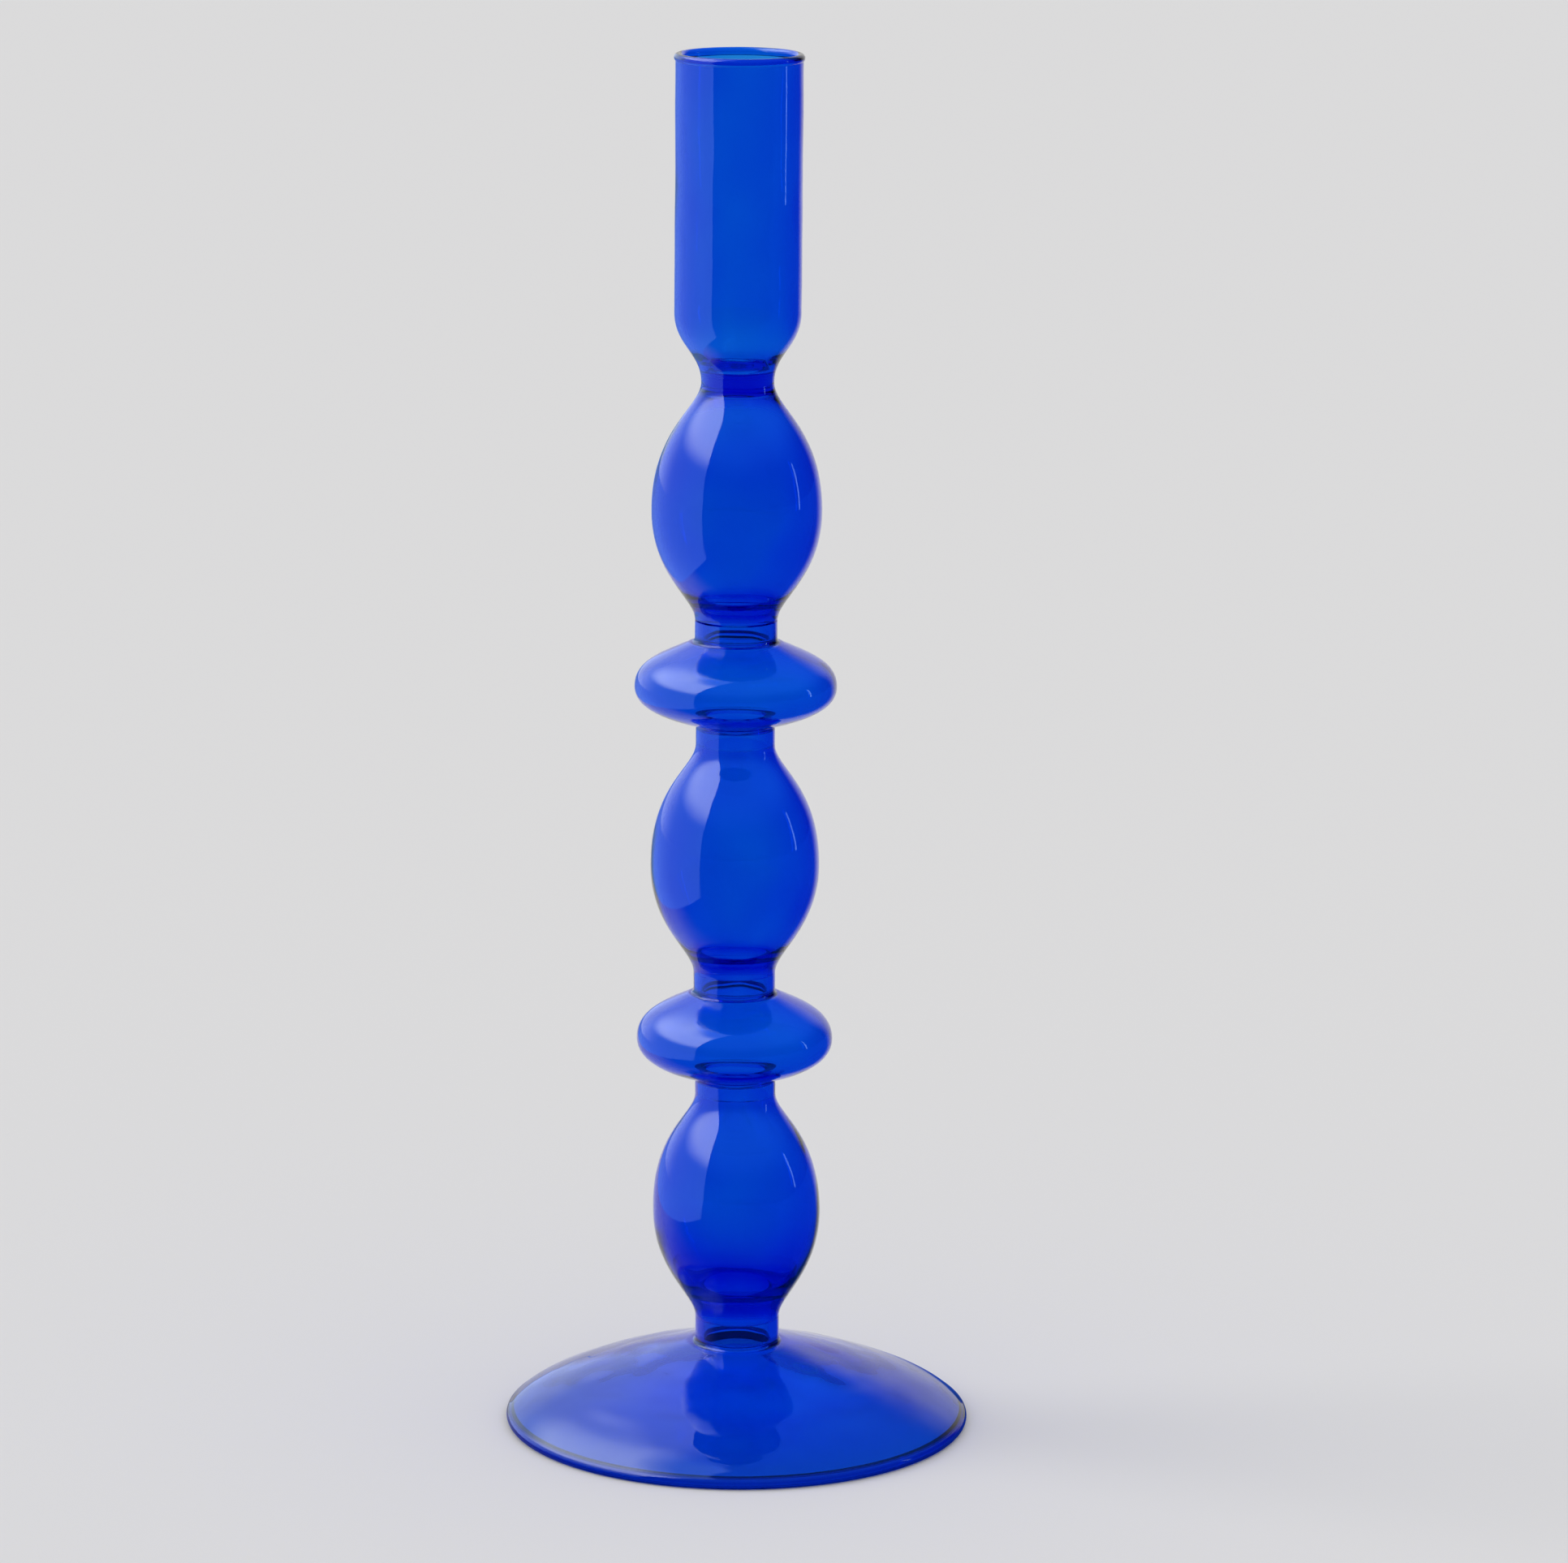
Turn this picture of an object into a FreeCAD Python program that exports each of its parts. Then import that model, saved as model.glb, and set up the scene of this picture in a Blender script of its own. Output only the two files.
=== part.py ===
import FreeCAD, Part

import math
import os

# A glass candlestick, worked from borosilicate tube in the lampworker's flame.
# A straight candle cup stands on a stem of three blown bulbs with two flat discs between
# them, and the stem stands on a wide foot that is open underneath. The glass is turned here
# as one outline, then parted into the sections that the maker draws, blows and fuses.
# Millimetres. The origin is on the table, on the candlestick's axis, and +Z points up.

# Whole object
TOTAL_HEIGHT = 288.0
FOOT_RADIUS = 48.6

# Candle cup, for a standard 22 mm taper candle
CUP_RADIUS = 13.0
CUP_WALL = 1.5
CUP_BEAD_RADIUS = 0.9
CUP_SHOULDER_HEIGHT = 235.5

# Waist under the cup, where solid glass closes the tube
WAIST_RADIUS = 7.5
WAIST_HEIGHT = 221.0
PLUG_TOP = 223.7
PLUG_BOTTOM = 218.5
PLUG_DISH_RADIUS = 6.3
PLUG_DISH_DEPTH = 0.8

# Stem: (radius, height) of each bulb's belly and each disc's edge
UPPER_BULB = (17.5, 194.0)
UPPER_DISC = (20.9, 157.5)
MIDDLE_BULB = (17.5, 120.0)
LOWER_DISC = (20.4, 83.0)
LOWER_BULB = (17.5, 46.0)

# Stem: (radius, top height, bottom height) of each straight neck
UPPER_BULB_NECK = (8.5, 171.5, 168.2)
UPPER_DISC_NECK = (8.2, 148.8, 145.5)
MIDDLE_BULB_NECK = (8.5, 97.0, 93.7)
LOWER_DISC_NECK = (8.4, 73.8, 71.0)
FOOT_NECK = (8.8, 22.5, 18.2)

# Fused seal between a neck and the wide section beside it
SEAL_HEIGHT = 1.2
SEAL_FLARE = 0.8
SEAL_FLARE_BEND = 0.3
SEAL_BEAD = 0.5

# Glass left in the walls
NECK_WALL = 1.6
BULB_WALL = 1.3
DISC_WALL = 1.3
DISC_CORNER_DEPTH = 0.5
FOOT_WALL = 1.7

# Glass that has gathered inside the bottom of each bulb, measured up from its neck
UPPER_BULB_GATHER = 4.0
MIDDLE_BULB_GATHER = 4.0
LOWER_BULB_GATHER = 6.0

# Foot: a shallow cone that rolls down to a round rim with a narrow flat land
FOOT_SLOPE = 15.5
FOOT_SHOULDER_RADIUS = 42.8
FOOT_ROLL_RADIUS = 46.2
FOOT_ROLL_HEIGHT = 3.6
RIM_BEAD_RADIUS = 1.25
RIM_LAND = 1.0
RIM_JOIN_ANGLE = 55.0
ROLL_INNER_DROP = 0.4

# Fullness of the blown curves: how far each end of a curve runs on in its own direction,
# as a share of the curve's height or width
BELLY_REACH_UP = 0.65
BELLY_REACH_DOWN = 0.58
BULB_NECK_REACH = 0.2
CUP_SHOULDER_REACH = 0.48
WAIST_REACH = 0.41
BOWL_FLOOR_REACH = 0.3
BOWL_SIDE_REACH = 0.5
CEILING_BELLY_REACH = 0.66
CEILING_EDGE_REACH = 0.05
CUP_FLOOR_REACH = 0.25
CUP_FLOOR_SHOULDER_REACH = 0.6
DISC_FACE_REACH = 0.6
DISC_EDGE_REACH = 0.5

# Slope at which a disc's two faces leave its necks, in degrees below or above level
DISC_TOP_SLOPE = 25.0
DISC_BOTTOM_SLOPE = 15.0

# Worked out from the dimensions above
FOOT_TOP = FOOT_NECK[2] - SEAL_HEIGHT
CUP_BEAD_CENTRE = CUP_RADIUS - CUP_WALL + CUP_BEAD_RADIUS
CUP_BEAD_HEIGHT = TOTAL_HEIGHT - CUP_BEAD_RADIUS
CUP_BEAD_OVERHANG = CUP_RADIUS - CUP_BEAD_CENTRE
CUP_BEAD_JOIN = CUP_BEAD_HEIGHT - math.sqrt(CUP_BEAD_RADIUS ** 2 - CUP_BEAD_OVERHANG ** 2)
RIM_BEAD_CENTRE = FOOT_RADIUS - RIM_BEAD_RADIUS
RIM_BEAD_HEIGHT = math.sqrt(RIM_BEAD_RADIUS ** 2 - (RIM_LAND / 2) ** 2)
RIM_JOIN_HEIGHT = RIM_BEAD_HEIGHT + RIM_BEAD_RADIUS * math.sin(math.radians(RIM_JOIN_ANGLE))
RIM_JOIN_REACH = RIM_BEAD_RADIUS * math.cos(math.radians(RIM_JOIN_ANGLE))
RIM_OUTER_JOIN = RIM_BEAD_CENTRE + RIM_JOIN_REACH
RIM_INNER_JOIN = RIM_BEAD_CENTRE - RIM_JOIN_REACH


def at(point):
    """A (radius, height) pair as a point in the half plane beside the axis."""
    return FreeCAD.Vector(point[0], 0, point[1])


def line(start, end):
    return Part.LineSegment(at(start), at(end)).toShape()


def arc(start, middle, end):
    return Part.Arc(at(start), at(middle), at(end)).toShape()


def curve(*poles):
    bezier = Part.BezierCurve()
    bezier.setPoles([at(pole) for pole in poles])
    return bezier.toShape()


def upright_curve(start, end, start_reach, end_reach):
    """A curve that is upright at both ends."""
    height = end[1] - start[1]
    start_pole = (start[0], start[1] + start_reach * height)
    end_pole = (end[0], end[1] - end_reach * height)
    return curve(start, start_pole, end_pole, end)


def bulb_side(top, belly, bottom):
    upper = upright_curve(belly, top, BELLY_REACH_UP, BULB_NECK_REACH)
    lower = upright_curve(belly, bottom, BELLY_REACH_DOWN, BULB_NECK_REACH)
    return [upper, lower]


def disc_face(neck, edge, slope):
    """A disc's face, from its neck at the given slope round to the upright edge."""
    height = edge[1] - neck[1]
    run = DISC_FACE_REACH * (edge[0] - neck[0])
    rise = math.copysign(run * math.tan(math.radians(slope)), height)
    face_pole = (neck[0] + run, neck[1] + rise)
    edge_pole = (edge[0], edge[1] - DISC_EDGE_REACH * height)
    return curve(neck, face_pole, edge_pole, edge)


def seal_flare(radius, neck_end, wide_end):
    """The small hollow fillet where a neck meets a wide section."""
    middle_radius = radius + SEAL_FLARE_BEND * SEAL_FLARE
    middle_height = wide_end + SEAL_FLARE_BEND * (neck_end - wide_end)
    return arc((radius, neck_end), (middle_radius, middle_height), (radius + SEAL_FLARE, wide_end))


def seal_bead(radius, neck_end, wide_end):
    """The round ridge that the seal leaves inside the tube."""
    middle = (radius - SEAL_BEAD, (neck_end + wide_end) / 2)
    return arc((radius, neck_end), middle, (radius, wide_end))


def neck_sides(neck):
    radius, top, bottom = neck
    inner_radius = radius - NECK_WALL
    outside = line((radius, top), (radius, bottom))
    inside = line((inner_radius, top), (inner_radius, bottom))
    return [outside, inside]


def disc_sides(upper_neck, edge, lower_neck):
    """Both walls of a disc, with its seals, between the neck above and the neck below."""
    edges = []
    inner_edge = (edge[0] - DISC_WALL, edge[1])
    ends = (
        (upper_neck[0], upper_neck[2], -1, DISC_TOP_SLOPE),
        (lower_neck[0], lower_neck[1], 1, DISC_BOTTOM_SLOPE),
    )
    for radius, neck_end, towards_disc, slope in ends:
        seal_end = neck_end + towards_disc * SEAL_HEIGHT
        inner_radius = radius - NECK_WALL
        inner_corner = (inner_radius, seal_end + towards_disc * DISC_CORNER_DEPTH)
        edges.append(seal_flare(radius, neck_end, seal_end))
        edges.append(disc_face((radius + SEAL_FLARE, seal_end), edge, slope))
        edges.append(seal_bead(inner_radius, neck_end, seal_end))
        edges.append(line((inner_radius, seal_end), inner_corner))
        edges.append(disc_face(inner_corner, inner_edge, slope))
    return edges


def bowl_sides(hollow, neck_radius, neck_top, gather):
    """The lower inside of a bulb: a bore up through the gathered glass, then a round bowl."""
    inner_radius = neck_radius - NECK_WALL
    floor = (inner_radius, neck_top + gather)
    floor_pole = (inner_radius + BOWL_FLOOR_REACH * (hollow[0] - inner_radius), floor[1])
    side_pole = (hollow[0], hollow[1] - BOWL_SIDE_REACH * (hollow[1] - floor[1]))
    return [line((inner_radius, neck_top), floor), curve(floor, floor_pole, side_pole, hollow)]


def hollow_bulb_sides(upper_neck, belly, lower_neck, gather):
    """Both walls of a bulb that is open to the neck above and the neck below."""
    upper_radius, _, top_height = upper_neck
    lower_radius, bottom_height, _ = lower_neck
    hollow = (belly[0] - BULB_WALL, belly[1])
    outside = bulb_side((upper_radius, top_height), belly, (lower_radius, bottom_height))
    bowl = bowl_sides(hollow, lower_radius, bottom_height, gather)
    hollow_top = (upper_radius - NECK_WALL, top_height)
    return outside + bowl + [upright_curve(hollow, hollow_top, BELLY_REACH_UP, BULB_NECK_REACH)]


def waist_and_upper_bulb_sides():
    """The closed bulb under the cup: its top is the underside of the solid plug."""
    belly_radius, belly_height = UPPER_BULB
    neck_radius, neck_top, _ = UPPER_BULB_NECK
    outside = bulb_side((WAIST_RADIUS, WAIST_HEIGHT), UPPER_BULB, (neck_radius, neck_top))
    ceiling_edge = (PLUG_DISH_RADIUS, PLUG_BOTTOM)
    ceiling_middle = PLUG_BOTTOM + PLUG_DISH_DEPTH
    hollow = (belly_radius - BULB_WALL, belly_height)
    bowl = bowl_sides(hollow, neck_radius, neck_top, UPPER_BULB_GATHER)
    shoulder = upright_curve(hollow, ceiling_edge, CEILING_BELLY_REACH, CEILING_EDGE_REACH)
    ceiling = dish(ceiling_edge, ceiling_middle)
    axis = line((0, ceiling_middle), (0, PLUG_TOP - PLUG_DISH_DEPTH))
    return outside + bowl + [shoulder, ceiling, axis]


def dish(edge, middle_height):
    """A shallow round bowl, from its edge to the axis."""
    edge_radius, edge_height = edge
    depth = edge_height - middle_height
    ball_radius = (edge_radius ** 2 + depth ** 2) / (2 * depth)
    half_angle = math.asin(edge_radius / ball_radius) / 2
    half_way_radius = ball_radius * math.sin(half_angle)
    half_way_height = middle_height + ball_radius * (1 - math.cos(half_angle))
    return arc(edge, (half_way_radius, half_way_height), (0, middle_height))


def cup_sides():
    bore_radius = CUP_RADIUS - CUP_WALL
    outside = upright_curve(
        (CUP_RADIUS, CUP_SHOULDER_HEIGHT),
        (WAIST_RADIUS, WAIST_HEIGHT),
        CUP_SHOULDER_REACH,
        WAIST_REACH,
    )
    floor_edge = (PLUG_DISH_RADIUS, PLUG_TOP)
    inside = upright_curve(
        (bore_radius, CUP_SHOULDER_HEIGHT),
        floor_edge,
        CUP_FLOOR_SHOULDER_REACH,
        CUP_FLOOR_REACH,
    )
    floor = dish(floor_edge, PLUG_TOP - PLUG_DISH_DEPTH)
    tube_outside = line((CUP_RADIUS, CUP_SHOULDER_HEIGHT), (CUP_RADIUS, CUP_BEAD_JOIN))
    bore = line((bore_radius, CUP_SHOULDER_HEIGHT), (bore_radius, CUP_BEAD_HEIGHT))
    return [outside, inside, floor, tube_outside, bore] + cup_bead()


def cup_bead():
    """The rim's round bead, in two arcs that meet at its crest."""
    crest = (CUP_BEAD_CENTRE, TOTAL_HEIGHT)
    outer_side = (CUP_BEAD_CENTRE + CUP_BEAD_RADIUS, CUP_BEAD_HEIGHT)
    inner_side = (CUP_BEAD_CENTRE - CUP_BEAD_RADIUS, CUP_BEAD_HEIGHT)
    diagonal = CUP_BEAD_RADIUS * math.sqrt(0.5)
    shoulder = (CUP_BEAD_CENTRE - diagonal, CUP_BEAD_HEIGHT + diagonal)
    outer_arc = arc((CUP_RADIUS, CUP_BEAD_JOIN), outer_side, crest)
    return [outer_arc, arc(crest, shoulder, inner_side)]


def foot_sides():
    radius, _, neck_end = FOOT_NECK
    inner_radius = radius - NECK_WALL
    cone_start = (radius + SEAL_FLARE, FOOT_TOP)
    inner_corner = (inner_radius, FOOT_TOP - FOOT_WALL)
    drop = (FOOT_SHOULDER_RADIUS - cone_start[0]) * math.tan(math.radians(FOOT_SLOPE))
    outside = curve(
        cone_start,
        (FOOT_SHOULDER_RADIUS, FOOT_TOP - drop),
        (FOOT_ROLL_RADIUS, FOOT_ROLL_HEIGHT),
        (RIM_OUTER_JOIN, RIM_JOIN_HEIGHT),
    )
    inside = curve(
        inner_corner,
        (FOOT_SHOULDER_RADIUS, FOOT_TOP - drop - FOOT_WALL),
        (FOOT_ROLL_RADIUS - FOOT_WALL, FOOT_ROLL_HEIGHT - ROLL_INNER_DROP),
        (RIM_INNER_JOIN, RIM_JOIN_HEIGHT),
    )
    return [
        seal_flare(radius, neck_end, FOOT_TOP),
        seal_bead(inner_radius, neck_end, FOOT_TOP),
        line((inner_radius, FOOT_TOP), inner_corner),
        outside,
        inside,
    ]


def foot_rim_sides():
    half_land = RIM_LAND / 2
    outer_land = (RIM_BEAD_CENTRE + half_land, 0)
    inner_land = (RIM_BEAD_CENTRE - half_land, 0)
    outer_side = (RIM_BEAD_CENTRE + RIM_BEAD_RADIUS, RIM_BEAD_HEIGHT)
    inner_side = (RIM_BEAD_CENTRE - RIM_BEAD_RADIUS, RIM_BEAD_HEIGHT)
    return [
        arc((RIM_OUTER_JOIN, RIM_JOIN_HEIGHT), outer_side, outer_land),
        line(outer_land, inner_land),
        arc(inner_land, inner_side, (RIM_INNER_JOIN, RIM_JOIN_HEIGHT)),
    ]


def turned_glass():
    """The whole candlestick's glass, turned about its axis."""
    edges = cup_sides() + waist_and_upper_bulb_sides() + foot_sides() + foot_rim_sides()
    for neck in (UPPER_BULB_NECK, UPPER_DISC_NECK, MIDDLE_BULB_NECK, LOWER_DISC_NECK, FOOT_NECK):
        edges += neck_sides(neck)
    edges += disc_sides(UPPER_BULB_NECK, UPPER_DISC, UPPER_DISC_NECK)
    edges += disc_sides(MIDDLE_BULB_NECK, LOWER_DISC, LOWER_DISC_NECK)
    edges += hollow_bulb_sides(UPPER_DISC_NECK, MIDDLE_BULB, MIDDLE_BULB_NECK, MIDDLE_BULB_GATHER)
    edges += hollow_bulb_sides(LOWER_DISC_NECK, LOWER_BULB, FOOT_NECK, LOWER_BULB_GATHER)
    outline = Part.Wire(Part.__sortEdges__(edges))
    axis_direction = FreeCAD.Vector(0, 0, 1)
    return Part.Face(outline).revolve(FreeCAD.Vector(0, 0, 0), axis_direction, 360)


def section(glass, low, high):
    """The glass between two heights."""
    reach = 2 * FOOT_RADIUS
    slab = Part.makeBox(2 * reach, 2 * reach, high - low, FreeCAD.Vector(-reach, -reach, low))
    return glass.common(slab).Solids[0]


# Every glass section, from the table up, and the height at which it ends
SECTIONS = (
    ("foot_rim_bead", RIM_JOIN_HEIGHT),
    ("foot_dome", FOOT_TOP),
    ("foot_seal", FOOT_NECK[2]),
    ("foot_neck", FOOT_NECK[1]),
    ("lower_bulb", LOWER_DISC_NECK[2]),
    ("lower_disc_neck", LOWER_DISC_NECK[1]),
    ("lower_disc_bottom_seal", LOWER_DISC_NECK[1] + SEAL_HEIGHT),
    ("lower_disc", MIDDLE_BULB_NECK[2] - SEAL_HEIGHT),
    ("lower_disc_top_seal", MIDDLE_BULB_NECK[2]),
    ("middle_bulb_neck", MIDDLE_BULB_NECK[1]),
    ("middle_bulb", UPPER_DISC_NECK[2]),
    ("upper_disc_neck", UPPER_DISC_NECK[1]),
    ("upper_disc_bottom_seal", UPPER_DISC_NECK[1] + SEAL_HEIGHT),
    ("upper_disc", UPPER_BULB_NECK[2] - SEAL_HEIGHT),
    ("upper_disc_top_seal", UPPER_BULB_NECK[2]),
    ("upper_bulb_neck", UPPER_BULB_NECK[1]),
    ("upper_bulb", PLUG_BOTTOM),
    ("cup_waist_plug", PLUG_TOP),
    ("candle_cup", CUP_BEAD_JOIN),
    ("cup_rim_bead", TOTAL_HEIGHT),
)

os.makedirs("parts", exist_ok=True)
glass = turned_glass()
low = 0.0
for name, high in SECTIONS:
    section(glass, low, high).exportStep(f"parts/{name}.step")
    low = high
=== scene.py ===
import math
import bmesh
import bpy
from mathutils import Euler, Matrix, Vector, noise


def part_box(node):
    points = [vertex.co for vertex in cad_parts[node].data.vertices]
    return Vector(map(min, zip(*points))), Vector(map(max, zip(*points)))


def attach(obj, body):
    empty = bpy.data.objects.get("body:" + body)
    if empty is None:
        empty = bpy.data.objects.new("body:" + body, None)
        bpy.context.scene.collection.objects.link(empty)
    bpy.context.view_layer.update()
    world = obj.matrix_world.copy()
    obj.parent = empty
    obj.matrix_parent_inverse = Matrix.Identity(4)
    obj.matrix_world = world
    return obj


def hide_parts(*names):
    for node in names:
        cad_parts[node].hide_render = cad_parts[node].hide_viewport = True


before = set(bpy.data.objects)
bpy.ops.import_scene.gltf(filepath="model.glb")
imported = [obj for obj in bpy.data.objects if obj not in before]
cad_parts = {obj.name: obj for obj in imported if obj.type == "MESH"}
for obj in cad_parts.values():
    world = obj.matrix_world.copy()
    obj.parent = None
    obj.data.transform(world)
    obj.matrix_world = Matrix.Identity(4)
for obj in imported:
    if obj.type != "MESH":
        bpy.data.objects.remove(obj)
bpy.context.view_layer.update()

# A lampworked glass candlestick. Each glass section is a closed mesh, turned from its own outline,
# and stands for the CAD node of the same name. Outlines are (radius, height) pairs in millimetres.
MM = 0.001
SEGMENTS = 192
CURVE_STEPS = 36
SHARP_ANGLE = math.radians(32)
SEAM_OVERLAP = 0.008

# Glass left in the walls, and the shape of the seals
NECK_WALL = 1.6
BULB_WALL = 1.3
DISC_WALL = 1.3
FOOT_WALL = 1.7
CUP_WALL = 1.5
SEAL_FLARE = 0.8
SEAL_BEAD = 0.5
SEAL_FLARE_BEND = 0.3

# Fullness of the blown curves, and where a belly or an edge lies in its section's height
BELLY_REACH_UP = 0.65
BELLY_REACH_DOWN = 0.58
BULB_NECK_REACH = 0.2
GATHERED_GLASS = {"upper_bulb": 4.0, "middle_bulb": 4.0, "lower_bulb": 6.0}
CAVITY_FLOOR_REACH = 0.3
CAVITY_SIDE_REACH = 0.5
CEILING_BELLY_REACH = 0.66
CEILING_EDGE_REACH = 0.05
DISC_CORNER_DEPTH = 0.5
DISC_FACE_REACH = 0.6
DISC_EDGE_REACH = 0.5
DISC_TOP_SLOPE = math.radians(25)
DISC_BOTTOM_SLOPE = math.radians(15)
MIDDLE_BELLY_SHARE = 0.474
LOWER_BELLY_SHARE = 0.485
DISC_EDGE_SHARE = 0.45


# ---------------------------------------------------------------- outlines

def low(node):
    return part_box(node)[0][2] / MM


def high(node):
    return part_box(node)[1][2] / MM


def radius(node):
    """The node's largest radius."""
    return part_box(node)[1][1] / MM


def bezier(a, b, c, d, steps=CURVE_STEPS):
    points = []
    for i in range(steps + 1):
        t = i / steps
        s = 1 - t
        weights = (s * s * s, 3 * s * s * t, 3 * s * t * t, t * t * t)
        points.append(tuple(sum(w * p[k] for w, p in zip(weights, (a, b, c, d))) for k in (0, 1)))
    return points


def straight(start, end, steps):
    return [
        tuple(start[k] + (end[k] - start[k]) * i / steps for k in (0, 1)) for i in range(steps + 1)
    ]


def arc(centre, arc_radius, from_angle, to_angle, steps):
    """A round stretch; angles in degrees, 0 pointing away from the axis and 90 up."""
    points = []
    for i in range(steps + 1):
        angle = math.radians(from_angle + (to_angle - from_angle) * i / steps)
        points.append((centre[0] + arc_radius * math.cos(angle), centre[1] + arc_radius * math.sin(angle)))
    return points


def upright_curve(start, end, start_reach, end_reach):
    height = end[1] - start[1]
    start_pole = (start[0], start[1] + start_reach * height)
    end_pole = (end[0], end[1] - end_reach * height)
    return bezier(start, start_pole, end_pole, end)


def smooth_step(value, start, end):
    t = min(1, max(0, (value - start) / (end - start)))
    return t * t * (3 - 2 * t)


def joined(*stretches):
    """Stretches of outline end to end, with each shared point kept once."""
    points = []
    for stretch in stretches:
        for point in stretch:
            if not points or math.dist(points[-1], point) > 1e-5:
                points.append(point)
    return points


def loop(outside, inside):
    """A closed outline of (radius, height, depth): depth is 0 on the outer wall and 1 on the inner."""
    return [(r, z, 0.0) for r, z in outside] + [(r, z, 1.0) for r, z in inside]


def clipped(points, bottom, top):
    """The stretch of a rising outline between two heights."""
    kept = []
    for start, end in zip(points, points[1:]):
        for height in (bottom, top):
            if start[1] < height < end[1]:
                share = (height - start[1]) / (end[1] - start[1])
                kept.append((start[0] + share * (end[0] - start[0]), height))
        if bottom <= end[1] <= top:
            kept.append(end)
    return kept


def neck_end(node):
    """A neck's outer radius and the radius of its bore."""
    return radius(node), radius(node) - NECK_WALL


def neck_outline(node, steps=6):
    outer, inner = neck_end(node)
    outside = straight((outer, low(node)), (outer, high(node)), steps)
    inside = straight((inner, high(node)), (inner, low(node)), steps)
    return loop(outside, inside)


def seal_outline(node, neck, neck_is_above, steps=14):
    """A thin ring: a hollow fillet outside and a round ridge inside."""
    outer, inner = neck_end(neck)
    neck_height, wide_height = (high(node), low(node)) if neck_is_above else (low(node), high(node))
    rise = wide_height - neck_height
    fillet = bezier(
        (outer, neck_height),
        (outer, neck_height + rise * (1 - SEAL_FLARE_BEND)),
        (outer + SEAL_FLARE * SEAL_FLARE_BEND, wide_height),
        (outer + SEAL_FLARE, wide_height),
        steps,
    )
    ridge = []
    for i in range(steps + 1):
        t = i / steps
        ridge.append((inner - SEAL_BEAD * math.sin(math.pi * t), wide_height - rise * t))
    return loop(fillet, ridge)


def disc_face(neck, edge, slope):
    height = edge[1] - neck[1]
    run = DISC_FACE_REACH * (edge[0] - neck[0])
    face_pole = (neck[0] + run, neck[1] + math.copysign(run * math.tan(slope), height))
    edge_pole = (edge[0], edge[1] - DISC_EDGE_REACH * height)
    return bezier(neck, face_pole, edge_pole, edge)


def disc_outline(node, upper_neck, lower_neck):
    bottom, top = low(node), high(node)
    edge_height = bottom + DISC_EDGE_SHARE * (top - bottom)
    upper_outer, upper_inner = neck_end(upper_neck)
    lower_outer, lower_inner = neck_end(lower_neck)
    edge = (radius(node), edge_height)
    hollow_edge = (radius(node) - DISC_WALL, edge_height)
    lower_corner = (lower_inner, bottom + DISC_CORNER_DEPTH)
    upper_corner = (upper_inner, top - DISC_CORNER_DEPTH)
    outside = joined(
        disc_face((lower_outer + SEAL_FLARE, bottom), edge, DISC_BOTTOM_SLOPE),
        disc_face((upper_outer + SEAL_FLARE, top), edge, DISC_TOP_SLOPE)[::-1],
    )
    inside = joined(
        straight((upper_inner, top), upper_corner, 4),
        disc_face(upper_corner, hollow_edge, DISC_TOP_SLOPE),
        disc_face(lower_corner, hollow_edge, DISC_BOTTOM_SLOPE)[::-1],
        straight(lower_corner, (lower_inner, bottom), 4),
    )
    return loop(outside, inside)


def bulb_side(bottom_point, belly, top_point):
    lower = upright_curve(bottom_point, belly, BULB_NECK_REACH, BELLY_REACH_DOWN)
    upper = upright_curve(belly, top_point, BELLY_REACH_UP, BULB_NECK_REACH)
    return joined(lower, upper)


def cavity_side(node, bore, hollow, top_point, belly_reach=BELLY_REACH_UP, top_reach=BULB_NECK_REACH):
    """The inside of a bulb, above the glass that has gathered at its bottom."""
    floor = low(node) + GATHERED_GLASS[node]
    passage = straight((bore, low(node)), (bore, floor), 4)
    floor_pole = (bore + CAVITY_FLOOR_REACH * (hollow[0] - bore), floor)
    side_pole = (hollow[0], hollow[1] - CAVITY_SIDE_REACH * (hollow[1] - floor))
    bowl = bezier((bore, floor), floor_pole, side_pole, hollow)
    upper = upright_curve(hollow, top_point, belly_reach, top_reach)
    return joined(passage, bowl, upper)


def bulb_outline(node, upper_neck, lower_neck, belly_share):
    bottom, top = low(node), high(node)
    belly_height = bottom + belly_share * (top - bottom)
    upper_outer, upper_inner = neck_end(upper_neck)
    lower_outer, lower_inner = neck_end(lower_neck)
    belly = (radius(node), belly_height)
    hollow = (radius(node) - BULB_WALL, belly_height)
    outside = bulb_side((lower_outer, bottom), belly, (upper_outer, top))
    inside = cavity_side(node, lower_inner, hollow, (upper_inner, top))
    return loop(outside, inside[::-1])


# The waist between the cup and the upper bulb, and the solid plug that closes it
WAIST_RADIUS = 7.5
WAIST_ABOVE_PLUG_FOOT = 2.5
SHOULDER_ABOVE_PLUG = 11.8
CUP_SHOULDER_REACH = 0.48
WAIST_REACH = 0.41
CUP_FLOOR_SHOULDER_REACH = 0.6
CUP_FLOOR_REACH = 0.25
DISH_RADIUS = 6.3
DISH_DEPTH = 0.8
UPPER_BELLY_ABOVE_NECK = 22.5


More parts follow.
